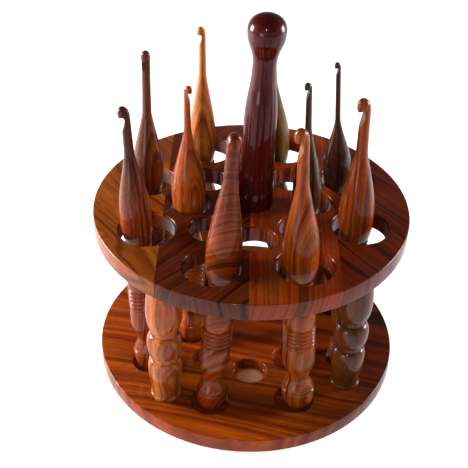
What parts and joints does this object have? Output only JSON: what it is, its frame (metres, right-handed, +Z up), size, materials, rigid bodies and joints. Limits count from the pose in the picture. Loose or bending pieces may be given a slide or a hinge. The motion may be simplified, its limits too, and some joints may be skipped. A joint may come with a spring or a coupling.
{
  "type": "crochet hook stand",
  "caption": "Two round wooden plates joined by turned posts, with rings of holes holding turned crochet hooks upright round a central carrying handle.",
  "frame": {"origin": "centre of the base underside", "axes": "+Z up; the board joints of the top plate run along Y, and -Y is the front"},
  "size_m": [0.212, 0.212, 0.2596],
  "materials": {
    "base_wood": "clear gloss varnish",
    "board_1_wood": "clear gloss varnish",
    "board_2_wood": "clear gloss varnish",
    "board_3_wood": "clear gloss varnish",
    "board_4_wood": "clear gloss varnish",
    "post_wood": "clear gloss varnish",
    "handle_wood": "clear gloss varnish",
    "hook_1_wood": "clear gloss varnish",
    "hook_2_wood": "clear gloss varnish",
    "hook_3_wood": "clear gloss varnish",
    "hook_4_wood": "clear gloss varnish",
    "hook_5_wood": "clear gloss varnish",
    "hook_6_wood": "clear gloss varnish",
    "hook_7_wood": "clear gloss varnish",
    "hook_8_wood": "clear gloss varnish",
    "hook_9_wood": "clear gloss varnish",
    "hook_10_wood": "clear gloss varnish"
  },
  "bodies": {
    "stand": {"base": "base_wood", "top_board_1": "board_1_wood", "top_board_2": "board_2_wood", "top_board_3": "board_3_wood", "top_board_4": "board_4_wood", "post_1": "post_wood", "post_2": "post_wood", "post_3": "post_wood", "post_4": "post_wood", "handle": "handle_wood"},
    "hook_1": {"hook_1": "hook_1_wood"},
    "hook_2": {"hook_2": "hook_2_wood"},
    "hook_3": {"hook_3": "hook_3_wood"},
    "hook_4": {"hook_4": "hook_4_wood"},
    "hook_5": {"hook_5": "hook_5_wood"},
    "hook_6": {"hook_6": "hook_6_wood"},
    "hook_7": {"hook_7": "hook_7_wood"},
    "hook_8": {"hook_8": "hook_8_wood"},
    "hook_9": {"hook_9": "hook_9_wood"},
    "hook_10": {"hook_10": "hook_10_wood"}
  },
  "joints": [
    {"name": "hook_1_lift", "type": "slide", "parent": "stand", "child": "hook_1", "axis": [-0.0488, 0.0105, 0.9988], "range_m": [0, 0.125]},
    {"name": "hook_2_lift", "type": "slide", "parent": "stand", "child": "hook_2", "axis": [0.0523, 0.0087, 0.9986], "range_m": [0, 0.125]},
    {"name": "hook_3_lift", "type": "slide", "parent": "stand", "child": "hook_3", "axis": [-0.0462, 0.0157, 0.9988], "range_m": [0, 0.125]},
    {"name": "hook_4_lift", "type": "slide", "parent": "stand", "child": "hook_4", "axis": [-0.0244, 0.0105, 0.9996], "range_m": [0, 0.125]},
    {"name": "hook_5_lift", "type": "slide", "parent": "stand", "child": "hook_5", "axis": [-0.0767, 0, 0.9971], "range_m": [0, 0.125]},
    {"name": "hook_6_lift", "type": "slide", "parent": "stand", "child": "hook_6", "axis": [-0.0698, -0.0087, 0.9975], "range_m": [0, 0.125]},
    {"name": "hook_7_lift", "type": "slide", "parent": "stand", "child": "hook_7", "axis": [-0.007, 0, 1], "range_m": [0, 0.125]},
    {"name": "hook_8_lift", "type": "slide", "parent": "stand", "child": "hook_8", "axis": [0.0122, 0, 0.9999], "range_m": [0, 0.125]},
    {"name": "hook_9_lift", "type": "slide", "parent": "stand", "child": "hook_9", "axis": [-0.0131, 0, 0.9999], "range_m": [0, 0.125]},
    {"name": "hook_10_lift", "type": "slide", "parent": "stand", "child": "hook_10", "axis": [-0.0497, 0, 0.9988], "range_m": [0, 0.125]}
  ]
}
